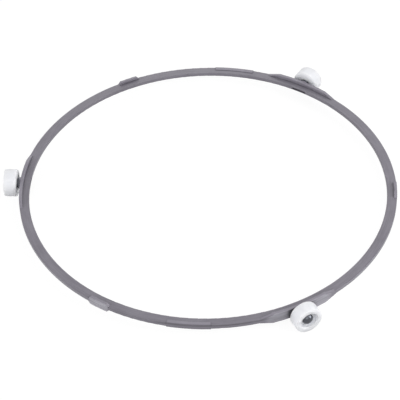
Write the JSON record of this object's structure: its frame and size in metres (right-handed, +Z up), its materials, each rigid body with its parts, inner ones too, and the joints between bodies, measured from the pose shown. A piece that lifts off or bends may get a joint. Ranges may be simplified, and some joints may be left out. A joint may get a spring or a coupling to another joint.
{
  "type": "microwave roller ring",
  "caption": "Thin round ring with small rollers on stub axles around its outside, which runs on the floor of a microwave oven and carries its turning glass tray.",
  "frame": {"origin": "centre of the ring, at the height of the roller axles", "axes": "+Z up along the ring's own axis, -X along the axle of roller_1, +X through the locating lug opposite it"},
  "size_m": [0.2088, 0.2, 0.0144],
  "materials": {
    "ring_plastic": "satin grey moulding",
    "roller_plastic": "smooth white moulding"
  },
  "bodies": {
    "ring": {"roller_ring": "ring_plastic"},
    "left_roller": {"roller_1": "roller_plastic"},
    "front_roller": {"roller_2": "roller_plastic"},
    "rear_roller": {"roller_3": "roller_plastic"}
  },
  "joints": [
    {"name": "left_roller_spin", "type": "hinge", "parent": "ring", "child": "left_roller", "pos_m": [-0.10512, 0, 0], "axis": [-1, 0, 0], "continuous": true},
    {"name": "front_roller_spin", "type": "hinge", "parent": "ring", "child": "front_roller", "pos_m": [0.05256, -0.09104, 0], "axis": [0.5, -0.866, 0], "continuous": true},
    {"name": "rear_roller_spin", "type": "hinge", "parent": "ring", "child": "rear_roller", "pos_m": [0.05256, 0.09104, 0], "axis": [0.5, 0.866, 0], "continuous": true}
  ]
}
